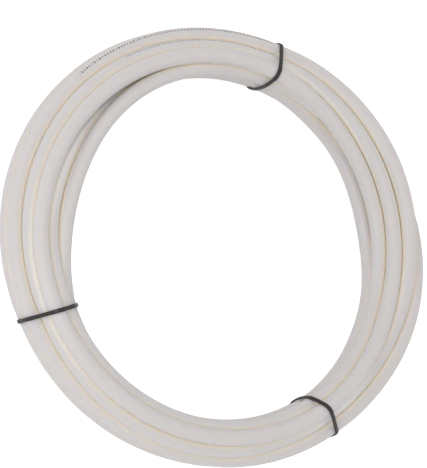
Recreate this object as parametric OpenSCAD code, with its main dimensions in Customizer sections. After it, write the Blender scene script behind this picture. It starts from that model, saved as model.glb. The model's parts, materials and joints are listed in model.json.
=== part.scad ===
// Coil of reverse osmosis tubing: one length of white polyethylene tube, wound
// into a ring of eleven turns and held by three nylon cable ties. The coil lies
// flat, its axis along +Z. The origin is on the floor, at the middle of its eye.

/* [Tubing] */
// Outside diameter of the tube
tube_d = 9.525; // [6:0.005:16]
// Diameter of the open eye of the coil
eye_d = 211; // [120:1:400]
// Turns stacked in the middle column
mid_turns = 5; // [4:1:8]
// Turns in each side column, at least one fewer than in the middle one
side_turns = 3; // [2:1:7]

/* [Free end] */
// Length of the straight end that a fitting takes
end_len = 16; // [10:0.5:25]
// Room left between the straight end and the coil, for the fitting's collar
end_room = 0.7; // [0.6:0.1:3]
// Height of the straight end's underside over the floor
end_lift = 0.5; // [0.2:0.1:4]

/* [Cable ties] */
// Width of a strap
strap_w = 2.5; // [1.5:0.1:6]
// Thickness of a strap
strap_t = 1.0; // [0.6:0.1:1.6]
// Width of the moulded head, along the coil
head_w = 4.5; // [3:0.1:9]
// Length of the head, along the strap
head_len = 4.8; // [3:0.1:9]
// How far the head stands off the tubing
head_h = 3.5; // [2:0.1:6]
// Length of the cut-off tail that stands out of the head
tail_len = 1.6; // [0.5:0.1:6]
// How far below the coil's level the head sits round the tube under it
head_angle = 25; // [0:1:40]
// Place of the first tie round the coil, measured from +X
tie_a_az = 113; // [95:1:170]
// Place of the second tie
tie_b_az = 350; // [300:1:355]
// Place of the third tie
tie_c_az = 244; // [200:1:290]

/* [Hidden] */
$fn = 96;
coil_fn = 240;
tube_r = tube_d / 2;
// The turns nest like stacked pipes, in three columns. The outer column stands at
// the foot of the middle one and the inner column hangs at its top, so the coil
// narrows a little upwards.
column_pitch = tube_d * cos(30);
inner_r = eye_d / 2 + tube_r;
mid_r = inner_r + column_pitch;
outer_r = mid_r + column_pitch;
// The straps pass under the coil and carry it, so it starts one strap up.
mid_foot = strap_t + tube_r;
mid_top = mid_foot + (mid_turns - 1) * tube_d;
outer_foot = mid_foot + tube_r;
inner_top = mid_top - tube_r;
side_height = (side_turns - 1) * tube_d;
// Centres in the (radius, height) plane, each column from its foot upwards.
outer_turns = [for (i = [0 : side_turns - 1]) [outer_r, outer_foot + i * tube_d]];
middle_turns = [for (i = [0 : mid_turns - 1]) [mid_r, mid_foot + i * tube_d]];
inner_turns = [for (i = [0 : side_turns - 1]) [inner_r, inner_top - side_height + i * tube_d]];
// Turns on the outside of the bundle, anticlockwise, each touching the next.
rim = concat(
    outer_turns,
    [for (i = [side_turns : mid_turns - 1]) middle_turns[i]],
    [for (i = [side_turns - 1 : -1 : 0]) inner_turns[i]],
    [for (i = [mid_turns - 1 - side_turns : -1 : 0]) middle_turns[i]]
);
// The turns among them that a tight strap touches
corners = [
    outer_turns[0],
    outer_turns[side_turns - 1],
    middle_turns[mid_turns - 1],
    inner_turns[side_turns - 1],
    inner_turns[0],
    middle_turns[0]
];
// The free end starts a little inside the last turn's line, runs straight down
// to the floor and lies level from there, clear of the coil.
end_y = outer_r - 0.8;
end_z = tube_r + end_lift;
end_drop = outer_foot - end_z;
end_reach = sqrt((tube_d + end_room) ^ 2 - end_drop ^ 2);
end_start_x = sqrt((outer_r + end_reach) ^ 2 - end_y ^ 2);
leave_angle = atan2(end_drop, end_start_x);
// The bend is a ball, a hair wider than the tube so that it closes both straights.
bend_ball_r = 1.004 * tube_r;
// The grooves between turns are filled to this height over the turns' centres.
groove_fill = 0.3 * tube_r;

function edge_normal(p, q) = [q[1] - p[1], p[0] - q[0]] / norm(q - p);

// Flat-sided shape over a closed row of centres, its sides h outside their line.
module flats(centres, h) {
    polygon([
        for (i = [0 : len(centres) - 1], k = [0, 1])
            let (
                p = centres[i],
                q = centres[(i + 1) % len(centres)],
                n = edge_normal(p, q)
            )
            (k == 0 ? p : q) + h * n
    ]);
}

// Outline of the bundle when every corner turn has the radius r.
module bundle_outline(r) {
    flats(corners, r);
    for (c = corners) translate(c) circle(r);
}

// Cut through one side of the coil: the turns and the solid between them.
module turns_section() {
    polygon(rim);
    for (i = [0 : len(rim) - 1])
        groove_floor(rim[i], rim[(i + 1) % len(rim)]);
    for (c = rim) translate(c) circle(tube_r);
}

// Strip that fills the groove between two touching turns.
module groove_floor(p, q) {
    rise = groove_fill * edge_normal(p, q);
    polygon([p, q, q + rise, p + rise]);
}

// Free end: runs off the lowest outer turn down to the floor, then lies level.
module free_end() {
    translate([0, end_y, outer_foot])
        rotate([0, 90 + leave_angle, 0])
            cylinder(r = tube_r, h = norm([end_drop, end_start_x]));
    translate([end_start_x, end_y, end_z]) {
        rotate([0, 90, 0]) {
            sphere(bend_ball_r);
            cylinder(r = tube_r, h = end_len);
        }
    }
}

module tubing_coil() {
    color("ivory") union() {
        rotate_extrude($fn = coil_fn) turns_section();
        free_end();
    }
}

// Strap loop drawn flat in the (radius, height) plane.
module strap_loop() {
    difference() {
        bundle_outline(tube_r + strap_t);
        bundle_outline(tube_r);
    }
}

// Head and tail drawn at a corner turn, standing out along +X. Both grow out
// of the middle of the strap's thickness.
module head_outline() {
    translate([tube_r + strap_t / 2, -head_len / 2]) square([head_h - strap_t / 2, head_len]);
}

module tail_outline() {
    translate([tube_r + strap_t, 0]) square([strap_t, head_len / 2 + tail_len]);
}

// Upright slab: draws a shape of the (radius, height) plane at azimuth az.
module slab(az, width) {
    rotate([0, 0, az])
        rotate([90, 0, 0])
            translate([0, 0, -width / 2])
                linear_extrude(width) children();
}

// Puts a head part on the low outer turn, or on the low inner one.
module on_low_turn(outside) {
    translate(outside ? corners[0] : corners[4])
        mirror([outside ? 0 : 1, 0])
            rotate(-head_angle)
                children();
}

module cable_tie(az, outside) {
    color("dimgray") union() {
        slab(az, strap_w) strap_loop();
        slab(az, head_w) on_low_turn(outside) head_outline();
        slab(az, strap_w) on_low_turn(outside) tail_outline();
    }
}

module cable_tie_a() { cable_tie(tie_a_az, true); }
module cable_tie_b() { cable_tie(tie_b_az, true); }
module cable_tie_c() { cable_tie(tie_c_az, false); }

tubing_coil();
cable_tie_a();
cable_tie_b();
cable_tie_c();
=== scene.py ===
"""Coil of reverse osmosis tubing: one long white tube in eleven turns, held by three
black nylon cable ties. Everything is in metres, in the frame's own axes."""

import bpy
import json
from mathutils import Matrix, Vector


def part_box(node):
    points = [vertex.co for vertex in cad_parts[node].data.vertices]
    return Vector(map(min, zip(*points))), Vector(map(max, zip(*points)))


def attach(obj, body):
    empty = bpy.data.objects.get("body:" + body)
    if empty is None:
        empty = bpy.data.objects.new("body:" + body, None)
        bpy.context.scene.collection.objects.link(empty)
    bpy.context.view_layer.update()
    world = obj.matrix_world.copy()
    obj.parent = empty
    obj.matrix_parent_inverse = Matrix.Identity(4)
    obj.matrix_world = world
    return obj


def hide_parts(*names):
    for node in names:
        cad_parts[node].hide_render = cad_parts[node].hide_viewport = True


bl_info = {
    "name": "Tubing Coil",
    "version": (1, 0, 0),
    "blender": (4, 5, 0),
    "location": "3D View > Sidebar > Tubing",
    "description": "Winds a coil of plastic tubing, fits its cable ties and sets the stage",
    "category": "Add Mesh",
}

import json
import math

import bmesh
import bpy
import numpy as np
from mathutils import Matrix, Vector

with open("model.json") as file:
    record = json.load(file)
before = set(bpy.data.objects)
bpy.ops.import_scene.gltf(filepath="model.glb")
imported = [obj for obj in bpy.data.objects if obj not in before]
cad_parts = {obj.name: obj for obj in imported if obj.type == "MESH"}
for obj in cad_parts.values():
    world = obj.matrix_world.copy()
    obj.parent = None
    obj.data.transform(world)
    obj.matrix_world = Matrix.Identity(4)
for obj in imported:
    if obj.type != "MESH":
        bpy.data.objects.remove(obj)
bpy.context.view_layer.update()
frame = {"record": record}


# ---------------------------------------------------------------- sizes from the frame


def tube_end_mount():
    return next(m for m in frame["record"]["mounts"] if m["name"] == "tube_end")


TUBE_END = tube_end_mount()
TUBE_D = 2 * TUBE_END["dims"]["r_mm"] / 1000
COIL_LOW, COIL_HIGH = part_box("tubing_coil")
COLUMN_PITCH = TUBE_D * math.cos(math.radians(30))
MID_R = -COIL_LOW[1] - TUBE_D / 2 - COLUMN_PITCH
MID_Z = (COIL_LOW[2] + COIL_HIGH[2]) / 2
TIES = ("cable_tie_b", "cable_tie_c", "cable_tie_a")  # in the order in which the tube meets them


def box_azimuth(node):
    """Azimuth in degrees of the middle of a node's box, seen from the coil's axis."""
    low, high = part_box(node)
    return math.degrees(math.atan2(low[1] + high[1], low[0] + high[0])) % 360


# ---------------------------------------------------------------- user's sizes and colours


class TubingSettings(bpy.types.PropertyGroup):
    tube_d: bpy.props.FloatProperty(
        name="Tube diameter",
        description="Outside diameter of the tube",
        default=TUBE_D,
        unit="LENGTH",
    )
    bore_d: bpy.props.FloatProperty(
        name="Bore diameter",
        description="Inside diameter of the tube",
        default=0.00635,
        unit="LENGTH",
    )
    tube_color: bpy.props.FloatVectorProperty(
        name="Tube colour",
        description="Colour of the clean polyethylene",
        default=(0.63, 0.612, 0.618),
        subtype="COLOR",
    )
    # Painted light: a warm, paler colour where two turns meet, standing in for light that passes
    # through the translucent walls and bounces between the turns
    painted_seam_light_color: bpy.props.FloatVectorProperty(
        name="Shade colour",
        description="Warm colour of the tube deep between two turns",
        default=(0.97, 0.86, 0.71),
        subtype="COLOR",
    )
    # Painted light: a paler colour deep in gaps between turns, standing in for light that comes
    # through the translucent turns round them
    painted_gap_light_color: bpy.props.FloatVectorProperty(
        name="Gap colour",
        description="Colour of the tube in a gap, where light comes through the turns round it",
        default=(0.93, 0.9, 0.87),
        subtype="COLOR",
    )
    patch_color: bpy.props.FloatVectorProperty(
        name="Patch colour",
        description="Faint cooler tint that comes and goes over the tube",
        default=(0.64, 0.62, 0.61),
        subtype="COLOR",
    )
    ink_color: bpy.props.FloatVectorProperty(
        name="Ink colour",
        description="Colour of the faint length ticks on the tube",
        default=(0.09, 0.09, 0.10),
        subtype="COLOR",
    )


class TieSettings(bpy.types.PropertyGroup):
    strap_w: bpy.props.FloatProperty(
        name="Strap width", description="Width of a strap", default=0.0025, unit="LENGTH"
    )
    strap_t: bpy.props.FloatProperty(
        name="Strap thickness",
        description="Thickness of a strap",
        default=0.001,
        unit="LENGTH",
    )
    head_w: bpy.props.FloatProperty(
        name="Head width",
        description="Width of the moulded head, along the coil",
        default=0.0045,
        unit="LENGTH",
    )
    head_len: bpy.props.FloatProperty(
        name="Head length",
        description="Length of the head, along the strap",
        default=0.0048,
        unit="LENGTH",
    )
    head_h: bpy.props.FloatProperty(
        name="Head height",
        description="How far the head stands off the tubing",
        default=0.0035,
        unit="LENGTH",
    )
    tail_len: bpy.props.FloatProperty(
        name="Tail length",
        description="Length of the cut tail that stands out of the head",
        default=0.0016,
        unit="LENGTH",
    )
    nylon_color: bpy.props.FloatVectorProperty(
        name="Nylon colour",
        description="Colour of the cable ties",
        default=(0.018, 0.013, 0.013),
        subtype="COLOR",
    )


class StageSettings(bpy.types.PropertyGroup):
    view_azimuth: bpy.props.FloatProperty(
        name="Far side",
        description="Azimuth of the side of the coil that is furthest from the camera",
        default=math.radians(60.5),
        subtype="ANGLE",
    )
    view_elevation: bpy.props.FloatProperty(
        name="Elevation",
        description="Height of the camera over the horizon",
        default=math.radians(61.6),
        subtype="ANGLE",
    )
    view_roll: bpy.props.FloatProperty(
        name="Roll",
        description="How far the camera is turned clockwise about its own axis",
        default=math.radians(74.0),
        subtype="ANGLE",
    )
    view_distance: bpy.props.FloatProperty(
        name="Distance",
        description="From the camera to the middle of the coil",
        default=2.5,
        unit="LENGTH",
    )
    view_height: bpy.props.FloatProperty(
        name="Field",
        description="Height of the field of view at the coil",
        default=0.2786,
        unit="LENGTH",
    )
    floor_color: bpy.props.FloatVectorProperty(
        name="Floor colour",
        description="Colour of the floor",
        default=(0.92, 0.92, 0.92),
        subtype="COLOR",
    )


def settings():
    return bpy.context.scene.tubing_coil


# ---------------------------------------------------------------- how the turns lie

# A place in the bundle is given in tube diameters: how far out from the middle column,
# and how far up from the middle of the bundle.
STEP = math.cos(math.radians(30))
SEATS = {f"middle_{i}": (0.0, i - 2.0) for i in range(5)}
SEATS.update({f"outer_{i}": (STEP, i - 1.5) for i in range(3)})
SEATS.update({f"inner_{i}": (-STEP, i - 0.5) for i in range(3)})
# The seat of each turn under the first tie, from the tube's inner end to its free end
SEAT_ORDER = (
    "middle_0",
    "middle_1",
    "inner_0",
    "middle_2",
    "outer_2",
    "middle_3",
    "middle_4",
    "inner_2",
    "inner_1",
    "outer_1",
    "outer_0",
)
TURNS = len(SEAT_ORDER)
STATIONS = 96  # places along each turn
FREE_AZIMUTH = 90.0  # where the last turn runs off as the free end
START_TRAVEL = 50.0  # where the inner end starts, in degrees of travel along the tube


def travel_to(azimuth):
    """Degrees of travel along a turn, which runs clockwise from the free end's azimuth."""
    return (FREE_AZIMUTH - azimuth) % 360.0


def ease(t):
    t = np.clip(t, 0, 1)
    return t * t * (3 - 2 * t)


# Places along a turn, each as (the tie before it, how far on towards the next tie), with the
# pairs of turns that change seats with each other on the way there
CHANGES = (
    (("cable_tie_b", 0.0), ()),
    (("cable_tie_b", 0.5), ((3, 8), (5, 6), (9, 10))),
    (("cable_tie_c", 0.0), ((3, 8), (5, 6), (9, 10))),
    (("cable_tie_c", 0.25), ((7, 8),)),
    (("cable_tie_a", 0.0), ()),
    (("cable_tie_a", 0.75), ((6, 7),)),
)
# How much wider the bundle lies half-way along a span, how far it rolls over there (degrees),
# how far it bulges outwards (tube diameters), how much of the height that it loses comes off
# its top, and where in the span it is widest (1 in the middle, less nearer the start)
SPANS = {
    "cable_tie_b": {"spread": 1.1, "roll": -20.0, "bulge": -0.5, "drop": 0.5, "skew": 1.0},
    "cable_tie_c": {"spread": 2.0, "roll": -35.0, "bulge": 0.0, "drop": 0.3, "skew": 0.5},
    "cable_tie_a": {"spread": 1.7, "roll": 35.0, "bulge": 0.8, "drop": 0.3, "skew": 1.0},
}
TIE_ROLL = {"cable_tie_b": 10.0, "cable_tie_c": -5.0, "cable_tie_a": 20.0}
WANDER_SEED = 3
WANDER = 0.2  # how far a turn strays from its seat between ties, in tube diameters
WANDER_KNOT = 44  # stations between changes of direction
LOWEST_FREE = (TUBE_D / 2 - MID_Z) / TUBE_D + 0.02  # just clear of the floor
LOWEST_TIED, HIGHEST = -2.0, 2.0  # over and under a strap
OUTERMOST = 1.62  # the furthest out that a turn may lie, in tube diameters
CLEARANCE = 1.015  # between the middles of two turns that touch
TIE_GRIP = 0.07  # how firmly the ties hold the turns in their seats
STIFFNESS = 0.6  # share of each bend that evens out in a round
SEAT_PULL = np.array([0.03, 0.015])  # share of the way to its seat, outwards and upwards
SAG = 0.001  # how far a free turn drops in a round, in tube diameters
GATHER = 0.008  # share of the way to the cut's middle that a turn is drawn in a round
RELAX_ROUNDS = 160
PUSH_ROUNDS = 3
PUSH = 0.4  # share of an overlap that each of the two turns gives way by
LOOSE_AFTER = 34  # degrees from a tie over which a turn gains its freedom
GRIP_REACH = 6  # degrees on either side over which a tie's grip fades
START_HELD = 8  # stations of the inner end that are kept in the first seat
START_HOLD, END_HOLD = 0.6, 0.9  # how firmly the two ends are held in their seats
SWELL_POWER = 1.2  # over 1, a span opens later than a plain arch
FLATTEN = -0.9  # the bundle's height goes with its spread to this power
STIFF_WINDOW = np.hanning(13)[1:-1] / np.hanning(13)[1:-1].sum()


class Route:
    """Stations along the tube: turn number, travel in that turn, span and place in it."""

    def __init__(self):
        self.count = TURNS * STATIONS + 1
        index = np.arange(self.count)
        self.turn = np.minimum(index // STATIONS, TURNS - 1)
        self.travel = (index - self.turn * STATIONS) * 360.0 / STATIONS
        self.gone = index * 360.0 / STATIONS
        self.start = int(START_TRAVEL / 360 * STATIONS)
        self.ties = [travel_to(box_azimuth(node)) for node in TIES]
        self.lengths = np.diff(self.ties + [self.ties[0] + 360])
        self.span = (np.searchsorted(self.ties, self.travel, side="right") - 1) % len(TIES)
        begins = np.array(self.ties)[self.span]
        self.along = ((self.travel - begins) % 360) / self.lengths[self.span]
        away = [np.abs((self.travel - tie + 180) % 360 - 180) for tie in self.ties]
        self.away = np.min(away, axis=0)
        self.freedom = ease((self.away - 1) / LOOSE_AFTER)  # 0 under a tie, where the turns are held

    def per_span(self, key):
        return np.array([SPANS[node][key] for node in TIES])[self.span]

    def seats(self):
        """The seat that each station heads for, passing from place to place."""
        knots = []
        order = list(SEAT_ORDER)
        for (tie, part), changes in CHANGES:
            number = TIES.index(tie)
            travel = self.ties[number] + part * self.lengths[number]
            if travel > 360:  # on its way to where the next turn starts
                order = order[1:] + order[-1:]
            for one, other in changes:
                order[one], order[other] = order[other], order[one]
            knots += [(360 * turn + travel, SEATS[name]) for turn, name in enumerate(order)]
        knots.sort()
        at = [knot[0] for knot in knots]
        lines = [np.interp(self.gone, at, [knot[1][axis] for knot in knots]) for axis in (0, 1)]
        return np.stack(lines, axis=1)

    def wander(self):
        """Slow seeded straying, none under the ties."""
        random = np.random.RandomState(WANDER_SEED)
        window = np.hanning(int(WANDER_KNOT * 1.4) | 1)
        window /= window.sum()
        stray = np.zeros((self.count, 2))
        for axis in (0, 1):
            knots = random.randn(self.count // WANDER_KNOT + 4)
            at = np.arange(len(knots)) * WANDER_KNOT - WANDER_KNOT
            line = np.interp(np.arange(self.count), at, knots)
            stray[:, axis] = np.convolve(line, window, "same")
        return WANDER * stray * self.freedom[:, None]

    def loosen(self, places):
        """Flatten, roll and shift the bundle between its ties."""
        swell = np.sin(np.pi * self.along ** self.per_span("skew")) ** SWELL_POWER
        spread = 1 + (self.per_span("spread") - 1) * swell
        flat = spread**FLATTEN
        rolls = np.array([TIE_ROLL[node] for node in TIES])
        tie_roll = rolls[self.span] * (1 - self.along) + np.roll(rolls, -1)[self.span] * self.along
        roll = np.radians(self.per_span("roll") * swell + tie_roll)
        out = places[:, 0] * spread
        up = places[:, 1] * flat - 2 * self.per_span("drop") * (1 - flat)
        return np.stack(
            [
                out * np.cos(roll) - up * np.sin(roll) + self.per_span("bulge") * swell,
                out * np.sin(roll) + up * np.cos(roll),
            ],
            axis=1,
        )


def stiff_line(places):
    """The same line with its bends evened out, as stiff tubing takes them."""
    half = len(STIFF_WINDOW) // 2
    before = 2 * places[0] - places[half:0:-1]
    after = 2 * places[-1] - places[-2 : -half - 2 : -1]
    longer = np.vstack([before, places, after])
    return np.stack([np.convolve(longer[:, k], STIFF_WINDOW, "valid") for k in (0, 1)], axis=1)


def as_cuts(places):
    """The turns' places, cut by cut through the coil."""
    return places[: TURNS * STATIONS].reshape(TURNS, STATIONS, 2)


def cuts_at(route, places, azimuth):
    """Places of all the turns in the cuts at these azimuths, in degrees."""
    station = travel_to(azimuth) / 360 * STATIONS
    low = np.floor(station).astype(int)
    index = np.arange(TURNS) * STATIONS + low[..., None]
    part = (station - low)[..., None, None]
    cuts = places[index] * (1 - part) + places[index + 1] * part
    cuts[index < route.start] = 1e6  # the inner end hasn't begun there
    return cuts


def draw_together(places, start):
    """Pull the turns of every cut a little towards each other's middle column."""
    cuts = as_cuts(places)
    there = np.ones((TURNS, STATIONS))
    there[0, :start] = 0
    middle = (cuts[..., 0] * there).sum(0) / there.sum(0)
    cuts[..., 0] += GATHER * (middle - cuts[..., 0])


def push_apart(places, start):
    """Move turns that lie in each other apart, in every cut through the coil."""
    cuts = as_cuts(places)
    for _ in range(PUSH_ROUNDS):
        between = cuts[:, None] - cuts[None]
        far = np.sqrt((between**2).sum(-1)) + 1e-9
        overlap = np.clip(CLEARANCE - far, 0, None)
        overlap[range(TURNS), range(TURNS)] = 0
        overlap[0, :, :start] = 0
        overlap[:, 0, :start] = 0
        cuts += ((overlap / far)[..., None] * between * PUSH).sum(1)


def settle_turns(route):
    """Lay the turns: each is stiff, drawn to its seat and kept out of the others."""
    start = route.start
    seats = route.loosen(route.seats() + route.wander())
    hold = TIE_GRIP * np.clip(1 - route.away / GRIP_REACH, 0, 1)
    seats[: start + START_HELD] = SEATS[SEAT_ORDER[0]]
    hold[start : start + START_HELD] = START_HOLD
    leaving = (route.turn == TURNS - 1) & (route.travel >= route.ties[-1])
    seats[leaving] = SEATS[SEAT_ORDER[-1]]
    hold[leaving] = END_HOLD
    lowest = LOWEST_TIED + (LOWEST_FREE - LOWEST_TIED) * ease((route.away - 2) / GRIP_REACH)
    places = seats.copy()
    for _ in range(RELAX_ROUNDS):
        places[start:] += STIFFNESS * (stiff_line(places[start:]) - places[start:])
        places += SEAT_PULL * (seats - places)
        places[:, 1] -= SAG * route.freedom
        draw_together(places, start)
        push_apart(places, start)
        places[:, 0] = np.minimum(places[:, 0], OUTERMOST)
        places[:, 1] = np.clip(places[:, 1], lowest, HIGHEST)
        places += hold[:, None] * (seats - places)
    return places


def in_space(places, azimuth):
    """Points for places in the bundle at these azimuths, in degrees."""
    turned = np.radians(azimuth)
    radius = MID_R + places[:, 0] * TUBE_D
    return np.stack(
        [radius * np.cos(turned), radius * np.sin(turned), MID_Z + places[:, 1] * TUBE_D], axis=1
    )


def free_end_points():
    """The two ends of the straight free end, from where the slope down to the floor meets it to the
    tube's mouth.
    """
    middle = np.array(TUBE_END["pos_m"])
    half = np.array(TUBE_END["axis"]) * TUBE_END["dims"]["length_mm"] / 2000
    return middle - half, middle + half


def smooth_through(points, per_step):
    """Catmull-Rom curve through points, with per_step pieces between neighbours."""
    padded = np.vstack([2 * points[0] - points[1], points, 2 * points[-1] - points[-2]])
    before, here, there, after = padded[:-3], padded[1:-2], padded[2:-1], padded[3:]
    curve = []
    for part in range(per_step):
        t = part / per_step
        curve.append(
            0.5
            * (
                2 * here
                + (there - before) * t
                + (2 * before - 5 * here + 4 * there - after) * t**2
                + (3 * here - before - 3 * there + after) * t**3
            )
        )
    return np.vstack([np.stack(curve, axis=1).reshape(-1, points.shape[1]), points[-1:]])


def tube_path(route, places):
    """The tube's centreline, from its inner end to its mouth."""
    azimuth = FREE_AZIMUTH - np.arange(route.count) * 360.0 / STATIONS
    turns = in_space(places, azimuth)[route.start : -3]
    bend, mouth = free_end_points()
    foot = in_space(np.array([SEATS["outer_0"]]), np.array([FREE_AZIMUTH]))[0]
    foot[1] = bend[1]
    slope = [foot + (bend - foot) * t for t in (0.14, 0.3, 0.45, 0.6, 0.75, 0.9)]
    level = [bend + (mouth - bend) * t for t in (0.1, 0.35, 0.6, 0.8, 1.0)]
    return smooth_through(np.vstack([turns, slope, level]), 2)


# ---------------------------------------------------------------- meshes


def frames_along(path):
    """Unit vectors along a path: ahead, out from the coil's axis, and down."""
    ahead = np.gradient(path, axis=0)
    ahead /= np.linalg.norm(ahead, axis=1, keepdims=True)
    out = path * np.array([1.0, 1.0, 0.0])
    out /= np.linalg.norm(out, axis=1, keepdims=True)
    out -= (out * ahead).sum(1)[:, None] * ahead
    out /= np.linalg.norm(out, axis=1, keepdims=True)
    return ahead, out, np.cross(out, ahead)


def ring_faces(rings, sides):
    """Quads between rings of points that follow each other."""
    faces = []
    for ring in range(rings - 1):
        for side in range(sides):
            turn = (side + 1) % sides
            faces.append(
                (
                    ring * sides + side,
                    ring * sides + turn,
                    (ring + 1) * sides + turn,
                    (ring + 1) * sides + side,
                )
            )
    return faces


def mesh_object(name, points, faces, material, node):
    """A smooth-shaded piece that rides on the root body."""
    mesh = bpy.data.meshes.new(name)
    mesh.from_pydata([tuple(p) for p in points], [], faces)
    mesh.validate()
    mesh.update()
    mesh.shade_smooth()
    mesh.materials.append(material)
    piece = bpy.data.objects.new(name, mesh)
    bpy.context.scene.collection.objects.link(piece)
    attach(piece, "root")
    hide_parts(node)
    return piece


def end_profile(outer, bore, edge, depth):
    """(how far back from the mouth, radius) round a cut tube end, from skin to bore."""
    return [
        (edge, outer),
        (edge * 0.3, outer - edge * 0.3),
        (0.0, outer - edge),
        (0.0, bore + edge * 0.6),
        (edge * 0.6, bore),
        (depth * 0.5, bore),
        (depth, bore),
    ]


TUBE_SIDES = 32
END_EDGE = 0.0003  # broken edge of a cut end
BORE_DEPTH = 0.03  # how far in the bore is modelled


def tube_points(path, outer, bore):
    """Rings of points of the tube: bore at one end, skin, bore at the other end."""
    _, out, down = frames_along(path)
    angles = np.linspace(0, 2 * np.pi, TUBE_SIDES, endpoint=False)
    gone = np.concatenate([[0], np.cumsum(np.linalg.norm(np.diff(path, axis=0), axis=1))])
    profile = end_profile(outer, bore, END_EDGE, BORE_DEPTH)
    rows = [(back, radius) for back, radius in reversed(profile)]
    inside = [g for g in gone if END_EDGE * 2 < g < gone[-1] - END_EDGE * 2]
    rows += [(g, outer) for g in inside]
    rows += [(gone[-1] - back, radius) for back, radius in profile]
    rings = []
    for distance, radius in rows:
        middle = np.array([np.interp(distance, gone, path[:, k]) for k in range(3)])
        side = np.array([np.interp(distance, gone, out[:, k]) for k in range(3)])
        below = np.array([np.interp(distance, gone, down[:, k]) for k in range(3)])
        ring = np.cos(angles)[:, None] * side + np.sin(angles)[:, None] * below
        rings.append(middle + radius * ring)
    return rings, [distance for distance, _ in rows], gone[-1]


# The two masks below carry painted light: near for the warm seams, shut in for the paler gaps
# In tube diameters: how far off a turn still counts as near, and as a wall of a gap
NEAR_REACH = 0.45
WALL_REACH = 1.1
# How much wall a skin point may see before it counts as shut in, and when it fully is
WALLS_OPEN, WALLS_SHUT = 1.25, 1.75


def closeness(points, index, route, places):
    """For each skin point: how near the next turn lies, and how shut in the point is.

    Both run from 0 to 1: near is 1 where two turns touch, shut in grows deep in a gap."""
    azimuth = np.degrees(np.arctan2(points[..., 1], points[..., 0]))
    here = np.stack(
        [
            (np.hypot(points[..., 0], points[..., 1]) - MID_R) / TUBE_D,
            (points[..., 2] - MID_Z) / TUBE_D,
        ],
        axis=-1,
    )
    gap = np.linalg.norm(here[..., None, :] - cuts_at(route, places, azimuth), axis=-1) - 0.5
    own_turn = np.rint((index[:, None] - travel_to(azimuth) / 360 * STATIONS) / STATIONS)
    gap[np.arange(TURNS) == own_turn[..., None]] = 9.0
    near = 1 - np.clip(gap.min(-1) / NEAR_REACH, 0, 1)
    walls = (1 - np.clip(gap / WALL_REACH, 0, 1)).sum(-1)
    shut_in = np.clip((walls - WALLS_OPEN) / (WALLS_SHUT - WALLS_OPEN), 0, 1)
    return near, shut_in * (1 - near**2)


def add_corner_map(mesh, name, values):
    """Store two numbers for each corner of each face as a UV map."""
    layer = mesh.uv_layers.new(name=name)
    layer.data.foreach_set("uv", np.asarray(values, dtype=np.float32).ravel())


def add_point_value(mesh, name, values):
    layer = mesh.attributes.new(name, "FLOAT", "POINT")
    layer.data.foreach_set("value", np.asarray(values, dtype=np.float32).ravel())


# Printed stretches that show: turn, the way the print faces there (degrees up from straight
# outwards), and the degrees of travel from and to which it runs
PRINTED = ((4, 50.0, 273.0, 334.0), (5, 34.0, 286.0, 334.0))


def printed_stretches(index):
    """1 where the print shows, 0 elsewhere, with short faded ends."""
    gone = index * 360.0 / STATIONS
    shows = [
        ease((gone - 360 * turn - begin) / 3) * ease((360 * turn + end - gone) / 3)
        for turn, _, begin, end in PRINTED
    ]
    return np.max(shows, axis=0)


def print_facing(index):
    """Which way the print line faces at each ring; it turns slowly from stretch to stretch."""
    at, way = [0], [0.0]
    for turn, facing, begin, end in PRINTED:
        at += [(turn + begin / 360) * STATIONS, (turn + end / 360) * STATIONS]
        way += [facing, facing]
    return np.interp(index, at + [TURNS * STATIONS], way + [0.0])


def build_tube(material):
    """One tube from its inner end to its mouth, with the bore modelled at both ends."""
    sizes = settings()
    route = Route()
    places = settle_turns(route)
    path = tube_path(route, places)
    rings, distances, length = tube_points(path, sizes.tube_d / 2, sizes.bore_d / 2)
    points = np.array(rings)
    count = len(rings)
    faces = ring_faces(count, TUBE_SIDES)
    faces.append(tuple(range(TUBE_SIDES)))
    faces.append(tuple((count - 1) * TUBE_SIDES + side for side in reversed(range(TUBE_SIDES))))
    tube = mesh_object("tubing", points.reshape(-1, 3), faces, material, "tubing_coil")
    gone = np.concatenate([[0], np.cumsum(np.linalg.norm(np.diff(path, axis=0), axis=1))])
    index = np.interp(distances, gone, np.arange(len(path))) / 2 + route.start
    near, shut_in = closeness(points, index, route, places)
    # Masks for the painted seam light and the painted gap light of the tube
    add_point_value(tube.data, "nearness", near)
    add_point_value(tube.data, "shut_in", shut_in)
    add_point_value(tube.data, "printed", np.repeat(printed_stretches(index), TUBE_SIDES))
    facing = print_facing(index)
    here = (np.arange(TUBE_SIDES)[None] / TUBE_SIDES + facing[:-1, None] / 360 + 0.5) % 1.0
    there = here + (np.diff(facing) / 360)[:, None]
    corners = np.zeros((count - 1, TUBE_SIDES, 4, 2))
    corners[:, :, (0, 1), 0] = np.array(distances)[:-1, None, None]
    corners[:, :, (2, 3), 0] = np.array(distances)[1:, None, None]
    for corner, round_place in enumerate((here, here + 1 / TUBE_SIDES, there + 1 / TUBE_SIDES, there)):
        corners[:, :, corner, 1] = round_place
    caps = np.zeros((2 * TUBE_SIDES, 2))
    add_corner_map(tube.data, "tube_skin", np.vstack([corners.reshape(-1, 2), caps]))
    return route, places


# ---------------------------------------------------------------- cable ties

STRAP_STEPS = 200
OUTLINE_STEPS = 720  # directions round the bundle in which a strap's reach is worked out
ROUNDED_OVER = 101  # of those steps, the width over which stiff nylon evens out its bends
NEAR_CUTS = np.array([-1.2, 0, 1.2])  # cuts that a strap's outline takes in, in degrees from it
# How far a strap lies askew: degrees round the coil for each tube diameter outwards
TIE_SKEW = {"cable_tie_b": 0.9, "cable_tie_c": -0.35, "cable_tie_a": -0.4}
# How far it has slipped along the coil, in degrees
TIE_SLIP = {"cable_tie_b": -2.4, "cable_tie_c": 0.7, "cable_tie_a": 2.1}
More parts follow.
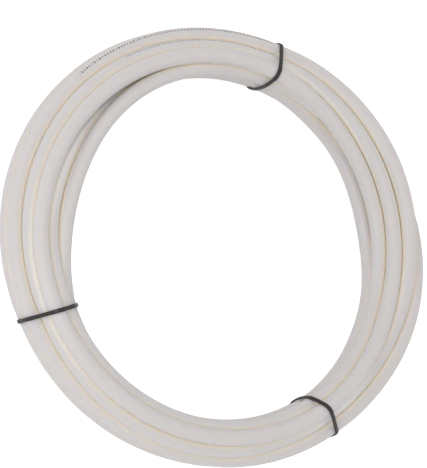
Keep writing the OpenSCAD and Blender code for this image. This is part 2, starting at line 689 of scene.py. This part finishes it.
# Which way the head faces in the upright cut through the tie, from straight outwards
HEAD_FACING = {"cable_tie_b": -38.0, "cable_tie_c": 205.0, "cable_tie_a": -25.0}


def evenly(points, count):
    """Points spaced evenly along a closed line."""
    closed = np.vstack([points, points[:1]])
    gone = np.concatenate([[0], np.cumsum(np.linalg.norm(np.diff(closed, axis=0), axis=1))])
    at = np.linspace(0, gone[-1], count, endpoint=False)
    return np.stack([np.interp(at, gone, line) for line in closed.T], axis=1)


def tight_outline(centres, offset):
    """Closed line of a tight band round the turns, rounded as stiff nylon rounds it."""
    middle = (centres.max(axis=0) + centres.min(axis=0)) / 2
    angles = np.linspace(0, 2 * np.pi, OUTLINE_STEPS, endpoint=False)
    ways = np.stack([np.cos(angles), np.sin(angles)], axis=1)
    touched = centres[np.argmax(centres @ ways.T, axis=0)]
    band = evenly(touched + offset * ways, 2 * OUTLINE_STEPS) - middle
    reach = np.interp(
        angles,
        np.arctan2(band[:, 1], band[:, 0]) % (2 * np.pi),
        np.linalg.norm(band, axis=1),
        period=2 * np.pi,
    )
    window = np.hanning(ROUNDED_OVER)
    window /= window.sum()
    eased = np.convolve(np.tile(reach, 3), window, "same")[OUTLINE_STEPS : 2 * OUTLINE_STEPS]
    return middle + np.maximum(reach, eased)[:, None] * ways


def strap_line(route, places, node):
    """Evenly spaced points along the inner face of a strap, round the whole bundle."""
    azimuth = box_azimuth(node) + TIE_SLIP[node]
    near = cuts_at(route, places, azimuth + NEAR_CUTS)
    outline = tight_outline(near[near[..., 0] < 9], 0.5)
    line = in_space(outline, azimuth + TIE_SKEW[node] * outline[:, 0])
    line[:, 2] = np.maximum(line[:, 2], bpy.context.scene.cable_ties.strap_t)
    return evenly(line, STRAP_STEPS)


def strap_profile(width, thickness):
    """Rounded strip across the strap: (across, outwards) pairs, its inner face at 0."""
    half, edge = width / 2, thickness * 0.42
    corners = []
    for across, out, start in (
        (half - edge, thickness - edge, 0),
        (-half + edge, thickness - edge, 90),
        (-half + edge, edge, 180),
        (half - edge, edge, 270),
    ):
        for turn in (0, 30, 60, 90):
            angle = math.radians(start + turn)
            corners.append((across + edge * math.cos(angle), out + edge * math.sin(angle)))
    return corners


def sweep_strip(line, across, outward, profile, closed):
    """Points and faces of a profile carried along a line."""
    points = []
    for middle, side, out in zip(line, across, outward):
        points += [middle + side * a + out * o for a, o in profile]
    rings, sides = len(line), len(profile)
    faces = ring_faces(rings, sides)
    last = (rings - 1) * sides
    if closed:
        for side in range(sides):
            turn = (side + 1) % sides
            faces.append((last + side, last + turn, turn, side))
    else:
        faces.append(tuple(reversed(range(sides))))
        faces.append(tuple(last + side for side in range(sides)))
    return points, faces


def head_block(width, length, height, window, tail_gap):
    """Moulded head with broken edges, a pawl window on top and the tail's way out at one end.

    Its base lies at 0, across is X, along the strap is Y and outwards is Z."""
    block = bmesh.new()
    bmesh.ops.create_cube(block, size=1.0)
    for vertex in block.verts:
        narrow = 0.88 if vertex.co.z > 0 else 1.0
        vertex.co.x *= width * narrow
        vertex.co.y *= length * narrow
        vertex.co.z = (vertex.co.z + 0.5) * height
    block.normal_update()
    bmesh.ops.bevel(
        block, geom=block.edges[:], offset=height * 0.13, segments=3, profile=0.6, affect="EDGES"
    )
    block.normal_update()
    for way, inset, sink in (((0, 0, 1), window, height * 0.28), ((0, 1, 0), tail_gap, length * 0.2)):
        face = max(block.faces, key=lambda f: f.normal.dot(Vector(way)) * f.calc_area())
        bmesh.ops.inset_region(block, faces=[face], thickness=inset, depth=0)
        bmesh.ops.inset_region(block, faces=[face], thickness=inset * 0.25, depth=-sink)
    points = np.array([vertex.co[:] for vertex in block.verts])
    faces = [tuple(vertex.index for vertex in face.verts) for face in block.faces]
    block.free()
    return points, faces


def joined(parts):
    """One list of points and one of faces from several (points, faces) pairs."""
    points, faces = [], []
    for more_points, more_faces in parts:
        start = len(points)
        points += [tuple(p) for p in more_points]
        faces += [tuple(start + index for index in face) for face in more_faces]
    return points, faces


TAIL_STEPS = 25
TAIL_LIFT = 0.0004  # how far the tail's tip lifts


def tail_parts(root, across, along, outward):
    """The cut tail: it leaves the head flat and lifts a little."""
    ties = bpy.context.scene.cable_ties
    steps = np.linspace(0, 1, TAIL_STEPS)
    reach = ties.head_len / 2 + ties.tail_len
    line = [root + along * reach * t + outward * TAIL_LIFT * t * t for t in steps]
    profile = strap_profile(ties.strap_w, ties.strap_t)
    return sweep_strip(line, [across] * TAIL_STEPS, [outward] * TAIL_STEPS, profile, False)


def build_tie(node, route, places, material):
    """Strap, head and cut tail of one cable tie, joined as one piece."""
    ties = bpy.context.scene.cable_ties
    line = strap_line(route, places, node)
    ahead = np.roll(line, -1, axis=0) - np.roll(line, 1, axis=0)
    ahead /= np.linalg.norm(ahead, axis=1, keepdims=True)
    turned = math.radians(box_azimuth(node))
    flat = np.array([-math.sin(turned), math.cos(turned), 0.0])
    across = flat - (ahead @ flat)[:, None] * ahead
    across /= np.linalg.norm(across, axis=1, keepdims=True)
    outward = np.cross(ahead, across)
    outward *= np.sign(((line - line.mean(axis=0)) * outward).sum(1))[:, None]
    profile = strap_profile(ties.strap_w, ties.strap_t)
    strap = sweep_strip(line, across, outward, profile, True)
    facing = math.radians(HEAD_FACING[node])
    radial = np.array([math.cos(turned), math.sin(turned), 0.0])
    way = math.cos(facing) * radial + math.sin(facing) * np.array([0.0, 0.0, 1.0])
    at = int(np.argmax(outward @ way))
    side, up = across[at], outward[at]
    along = np.cross(up, side)
    if along[2] > 0:
        along, side = -along, -side
    base = line[at] + up * ties.strap_t / 2
    points, faces = head_block(
        ties.head_w, ties.head_len, ties.head_h - ties.strap_t / 2, ties.head_w * 0.2, 0.0006
    )
    head = (base + points @ np.array([side, along, up]), faces)
    tail = tail_parts(line[at] + up * ties.strap_t, side, along, up)
    all_points, all_faces = joined((strap, head, tail))
    all_points = np.array(all_points)
    all_points[:, 2] = np.maximum(all_points[:, 2], 0)  # nothing of a tie lies under the floor
    return mesh_object(f"{node}_nylon", all_points, all_faces, material, node)


# ---------------------------------------------------------------- materials


def new_material(name):
    material = bpy.data.materials.new(name)
    material.use_nodes = True
    nodes = material.node_tree.nodes
    shader = next(n for n in nodes if n.type == "BSDF_PRINCIPLED")
    return material, material.node_tree, shader


def add_node(tree, kind, inputs=None, **values):
    """A node with its properties set, and its inputs set or linked."""
    node = tree.nodes.new(kind)
    for key, value in values.items():
        setattr(node, key, value)
    for key, value in (inputs or {}).items():
        if isinstance(value, bpy.types.NodeSocket):
            tree.links.new(value, node.inputs[key])
        else:
            node.inputs[key].default_value = value
    return node


def math_node(tree, operation, first, second=0.0, clamp=False):
    node = add_node(tree, "ShaderNodeMath", {0: first, 1: second}, operation=operation)
    node.use_clamp = clamp
    return node.outputs[0]


def mix_color(tree, amount, first, second):
    node = add_node(
        tree, "ShaderNodeMix", {"Factor": amount, 6: first, 7: second}, data_type="RGBA"
    )
    return node.outputs[2]


def rgba(color, brightness=1.0):
    return tuple(part * brightness for part in color) + (1.0,)


def grain_group():
    """Fine unevenness of a moulded or drawn plastic skin, shared by the tube and the ties."""
    if "plastic grain" in bpy.data.node_groups:
        return bpy.data.node_groups["plastic grain"]
    group = bpy.data.node_groups.new("plastic grain", "ShaderNodeTree")
    for name, kind in (("Position", "NodeSocketVector"), ("Grain Size", "NodeSocketFloat")):
        group.interface.new_socket(name, in_out="INPUT", socket_type=kind)
    for name in ("Patches", "Grain"):
        group.interface.new_socket(name, in_out="OUTPUT", socket_type="NodeSocketFloat")
    given = group.nodes.new("NodeGroupInput").outputs
    made = group.nodes.new("NodeGroupOutput").inputs
    fineness = math_node(group, "DIVIDE", 1.0, given["Grain Size"])
    grain = add_node(
        group,
        "ShaderNodeTexNoise",
        {"Vector": given["Position"], "Scale": fineness, "Detail": 2.0, "Roughness": 0.6},
    )
    patch_scale = math_node(group, "MULTIPLY", fineness, 0.06)
    patches = add_node(
        group,
        "ShaderNodeTexNoise",
        {"Vector": given["Position"], "Scale": patch_scale, "Detail": 4.0, "Roughness": 0.55},
    )
    group.links.new(grain.outputs["Fac"], made["Grain"])
    group.links.new(patches.outputs["Fac"], made["Patches"])
    return group


def place_grain(tree, grain_size):
    """The grain group in a material, on the object's own position."""
    position = add_node(tree, "ShaderNodeTexCoord").outputs["Object"]
    node = add_node(tree, "ShaderNodeGroup", node_tree=grain_group())
    tree.links.new(position, node.inputs["Position"])
    node.inputs["Grain Size"].default_value = grain_size
    return node.outputs


def spread_to(tree, value, low, high):
    """Stretch a 0..1 noise, which stays near its middle, over low..high."""
    node = add_node(
        tree,
        "ShaderNodeMapRange",
        {"Value": value, "From Min": 0.3, "From Max": 0.7, "To Min": low, "To Max": high},
    )
    return node.outputs[0]


def draw_lines(tree, along, angle):
    """Faint lines that the die leaves along the tube."""
    across = add_node(
        tree,
        "ShaderNodeCombineXYZ",
        {
            "X": math_node(tree, "MULTIPLY", along, 1.5),
            "Y": math_node(tree, "COSINE", angle),
            "Z": math_node(tree, "SINE", angle),
        },
    )
    lines = add_node(
        tree,
        "ShaderNodeTexNoise",
        {"Vector": across.outputs[0], "Scale": 5.0, "Detail": 5.0, "Roughness": 0.7},
    )
    return lines.outputs["Fac"]


TICK_PITCH = 0.002  # from one length tick to the next
TICK_HEIGHT = 0.0015


def ink_ticks(tree, along, around):
    """A row of small length ticks in worn ink, along the printed stretches."""
    sizes = settings()
    step = math_node(tree, "FRACT", math_node(tree, "DIVIDE", along, TICK_PITCH))
    dash = math_node(tree, "LESS_THAN", step, 0.5)
    off_line = math_node(tree, "ABSOLUTE", math_node(tree, "SUBTRACT", around, 0.5))
    height = TICK_HEIGHT / 2 / (math.pi * sizes.tube_d)
    in_row = math_node(tree, "LESS_THAN", off_line, height)
    printed = add_node(tree, "ShaderNodeAttribute", attribute_name="printed").outputs["Fac"]
    ink = math_node(tree, "MULTIPLY", math_node(tree, "MULTIPLY", dash, in_row), printed)
    worn = add_node(tree, "ShaderNodeTexNoise", {"Scale": 420.0, "Detail": 2.0})
    tree.links.new(
        add_node(tree, "ShaderNodeTexCoord").outputs["Object"], worn.inputs["Vector"]
    )
    return math_node(tree, "MULTIPLY", ink, spread_to(tree, worn.outputs["Fac"], 0.25, 1.0))


def tube_material():
    """White polyethylene: satin, faintly lined along its length, with light painted in: warm where
    turns meet and paler deep in gaps.
    """
    sizes = settings()
    material, tree, shader = new_material("white polyethylene")
    skin = add_node(tree, "ShaderNodeUVMap", uv_map="tube_skin").outputs[0]
    parts = add_node(tree, "ShaderNodeSeparateXYZ", {0: skin}).outputs
    angle = math_node(tree, "MULTIPLY", parts["Y"], 2 * math.pi)
    lines = draw_lines(tree, parts["X"], angle)
    grain = place_grain(tree, 0.0009)
    color = mix_color(
        tree,
        spread_to(tree, lines, 0, 1),
        rgba(sizes.tube_color, 0.965),
        rgba(sizes.tube_color, 1.025),
    )
    patchy = spread_to(tree, grain["Patches"], 0.0, 0.22)
    color = mix_color(tree, patchy, color, rgba(sizes.patch_color))
    # Painted light: the colour turns paler deep in gaps, for light through the translucent turns round
    # them
    shut_in = add_node(tree, "ShaderNodeAttribute", attribute_name="shut_in").outputs["Fac"]
    color = mix_color(tree, shut_in, color, rgba(sizes.painted_gap_light_color))
    # Painted light: a warm, paler colour where turns meet, for light through the walls and between the
    # turns
    near = add_node(tree, "ShaderNodeAttribute", attribute_name="nearness").outputs["Fac"]
    color = mix_color(tree, math_node(tree, "POWER", near, 2.0), color, rgba(sizes.painted_seam_light_color))
    color = mix_color(tree, ink_ticks(tree, parts["X"], parts["Y"]), color, rgba(sizes.ink_color))
    tree.links.new(color, shader.inputs["Base Color"])
    rough = math_node(tree, "ADD", spread_to(tree, lines, -0.05, 0.05), 0.4)
    rough = math_node(tree, "ADD", rough, spread_to(tree, grain["Patches"], -0.04, 0.04))
    tree.links.new(rough, shader.inputs["Roughness"])
    height = math_node(tree, "ADD", lines, math_node(tree, "MULTIPLY", grain["Grain"], 0.5))
    bump = add_node(tree, "ShaderNodeBump", {"Height": height, "Strength": 0.25, "Distance": 0.0001})
    tree.links.new(bump.outputs[0], shader.inputs["Normal"])
    shader.inputs["Subsurface Weight"].default_value = 0.85
    shader.inputs["Subsurface Radius"].default_value = (1.0, 0.75, 0.45)
    shader.inputs["Subsurface Scale"].default_value = 0.008
    return material


def nylon_material():
    """Black nylon: satin with a fine moulded grain and paler handled patches."""
    ties = bpy.context.scene.cable_ties
    material, tree, shader = new_material("black nylon")
    grain = place_grain(tree, 0.00035)
    color = mix_color(
        tree,
        spread_to(tree, grain["Patches"], 0, 1),
        rgba(ties.nylon_color, 0.8),
        rgba(ties.nylon_color, 1.5),
    )
    tree.links.new(color, shader.inputs["Base Color"])
    rough = spread_to(tree, grain["Patches"], 0.26, 0.5)
    tree.links.new(rough, shader.inputs["Roughness"])
    bump = add_node(
        tree, "ShaderNodeBump", {"Height": grain["Grain"], "Strength": 0.35, "Distance": 0.00008}
    )
    tree.links.new(bump.outputs[0], shader.inputs["Normal"])
    return material


def floor_material():
    """Pale floor that reads as white to the camera and keeps a soft shadow."""
    stage = bpy.context.scene.coil_stage
    material, tree, shader = new_material("studio floor")
    shader.inputs["Base Color"].default_value = rgba(stage.floor_color)
    shader.inputs["Roughness"].default_value = 0.9
    shader.inputs["Specular IOR Level"].default_value = 0.0
    seen = add_node(tree, "ShaderNodeLightPath").outputs["Is Camera Ray"]
    tree.links.new(math_node(tree, "MULTIPLY", seen, 0.6), shader.inputs["Emission Strength"])
    shader.inputs["Emission Color"].default_value = (1, 1, 1, 1)
    return material


# ---------------------------------------------------------------- stage


# How far the camera aims off the coil's middle, along its own up and left
AIM_UP, AIM_LEFT = 0.0092, 0.0003


def build_camera():
    """A long lens from high on one side, turned about its own axis."""
    stage = bpy.context.scene.coil_stage
    far = Vector((math.cos(stage.view_azimuth), math.sin(stage.view_azimuth), 0))
    rise = stage.view_elevation
    ahead = far * math.cos(rise) - Vector((0, 0, math.sin(rise)))
    side = Vector((far.y, -far.x, 0))
    top = side.cross(ahead)
    right = side * math.cos(stage.view_roll) + top * math.sin(stage.view_roll)
    up = top * math.cos(stage.view_roll) - side * math.sin(stage.view_roll)
    aim = Vector((0, 0, MID_Z)) + up * AIM_UP - right * AIM_LEFT
    camera = bpy.data.objects.new("camera", bpy.data.cameras.new("camera"))
    bpy.context.scene.collection.objects.link(camera)
    camera.data.lens = camera.data.sensor_width * stage.view_distance / stage.view_height
    camera.data.clip_end = 20
    turn = Matrix((right, up, -ahead)).transposed().to_4x4()
    camera.matrix_world = Matrix.Translation(aim - ahead * stage.view_distance) @ turn
    bpy.context.scene.camera = camera


WORLD_LEVEL = 0.78  # light from all round; the camera sees plain white beyond the floor
KEY_PLACE = (-0.75, -0.95, 1.45)  # over the side that the camera stands on
KEY_WATTS = 9.5
KEY_SIZE = 1.1
FLOOR_HALF = 4.0


def build_lights():
    """Even light from all round and one soft key light."""
    world = bpy.data.worlds.new("studio")
    world.use_nodes = True
    background = next(n for n in world.node_tree.nodes if n.type == "BACKGROUND")
    background.inputs["Color"].default_value = (1, 1, 1, 1)
    seen = add_node(world.node_tree, "ShaderNodeLightPath").outputs["Is Camera Ray"]
    rest = math_node(world.node_tree, "MULTIPLY", seen, 1 - WORLD_LEVEL)
    strength = math_node(world.node_tree, "ADD", rest, WORLD_LEVEL)
    world.node_tree.links.new(strength, background.inputs["Strength"])
    bpy.context.scene.world = world
    lamp = bpy.data.lights.new("key light", "AREA")
    lamp.energy = KEY_WATTS
    lamp.size = KEY_SIZE
    light = bpy.data.objects.new("key light", lamp)
    light.location = KEY_PLACE
    light.rotation_euler = (-Vector(KEY_PLACE)).to_track_quat("-Z", "Y").to_euler()
    bpy.context.scene.collection.objects.link(light)


def build_floor():
    """A wide flat square under the coil."""
    mesh = bpy.data.meshes.new("floor")
    half = FLOOR_HALF
    mesh.from_pydata(
        [(-half, -half, 0), (half, -half, 0), (half, half, 0), (-half, half, 0)],
        [],
        [(0, 1, 2, 3)],
    )
    mesh.materials.append(floor_material())
    floor = bpy.data.objects.new("floor", mesh)
    bpy.context.scene.collection.objects.link(floor)


# ---------------------------------------------------------------- operators and panel

WOUND = {}


class COIL_OT_set_stage(bpy.types.Operator):
    """Place the camera, the lights and the floor"""

    bl_idname = "coil.set_stage"
    bl_label = "Set Stage"

    def execute(self, context):
        build_camera()
        build_lights()
        build_floor()
        context.scene.view_settings.view_transform = "Standard"
        return {"FINISHED"}


class COIL_OT_wind_tubing(bpy.types.Operator):
    """Wind the tube into its coil"""

    bl_idname = "coil.wind_tubing"
    bl_label = "Wind Tubing"

    def execute(self, context):
        WOUND["route"], WOUND["places"] = build_tube(tube_material())
        return {"FINISHED"}


class COIL_OT_fit_ties(bpy.types.Operator):
    """Fit the three cable ties round the wound coil"""

    bl_idname = "coil.fit_ties"
    bl_label = "Fit Cable Ties"

    def execute(self, context):
        nylon = nylon_material()
        for node in TIES:
            build_tie(node, WOUND["route"], WOUND["places"], nylon)
        return {"FINISHED"}


class COIL_PT_panel(bpy.types.Panel):
    """Lists the steps that build the coil, with their sizes"""

    bl_label = "Tubing Coil"
    bl_idname = "COIL_PT_panel"
    bl_space_type = "VIEW_3D"
    bl_region_type = "UI"
    bl_category = "Tubing"

    def draw(self, context):
        scene = context.scene
        for group, names, operator in (
            (scene.coil_stage, StageSettings.__annotations__, "coil.set_stage"),
            (scene.tubing_coil, TubingSettings.__annotations__, "coil.wind_tubing"),
            (scene.cable_ties, TieSettings.__annotations__, "coil.fit_ties"),
        ):
            box = self.layout.box()
            for name in names:
                box.prop(group, name)
            box.operator(operator)


CLASSES = (
    TubingSettings,
    TieSettings,
    StageSettings,
    COIL_OT_set_stage,
    COIL_OT_wind_tubing,
    COIL_OT_fit_ties,
    COIL_PT_panel,
)


def register():
    for cls in CLASSES:
        bpy.utils.register_class(cls)
    bpy.types.Scene.tubing_coil = bpy.props.PointerProperty(type=TubingSettings)
    bpy.types.Scene.cable_ties = bpy.props.PointerProperty(type=TieSettings)
    bpy.types.Scene.coil_stage = bpy.props.PointerProperty(type=StageSettings)


def unregister():
    del bpy.types.Scene.coil_stage
    del bpy.types.Scene.cable_ties
    del bpy.types.Scene.tubing_coil
    for cls in reversed(CLASSES):
        bpy.utils.unregister_class(cls)


def main():
    register()
    bpy.ops.coil.set_stage()
    bpy.ops.coil.wind_tubing()
    bpy.ops.coil.fit_ties()


if __name__ == "__main__":
    main()
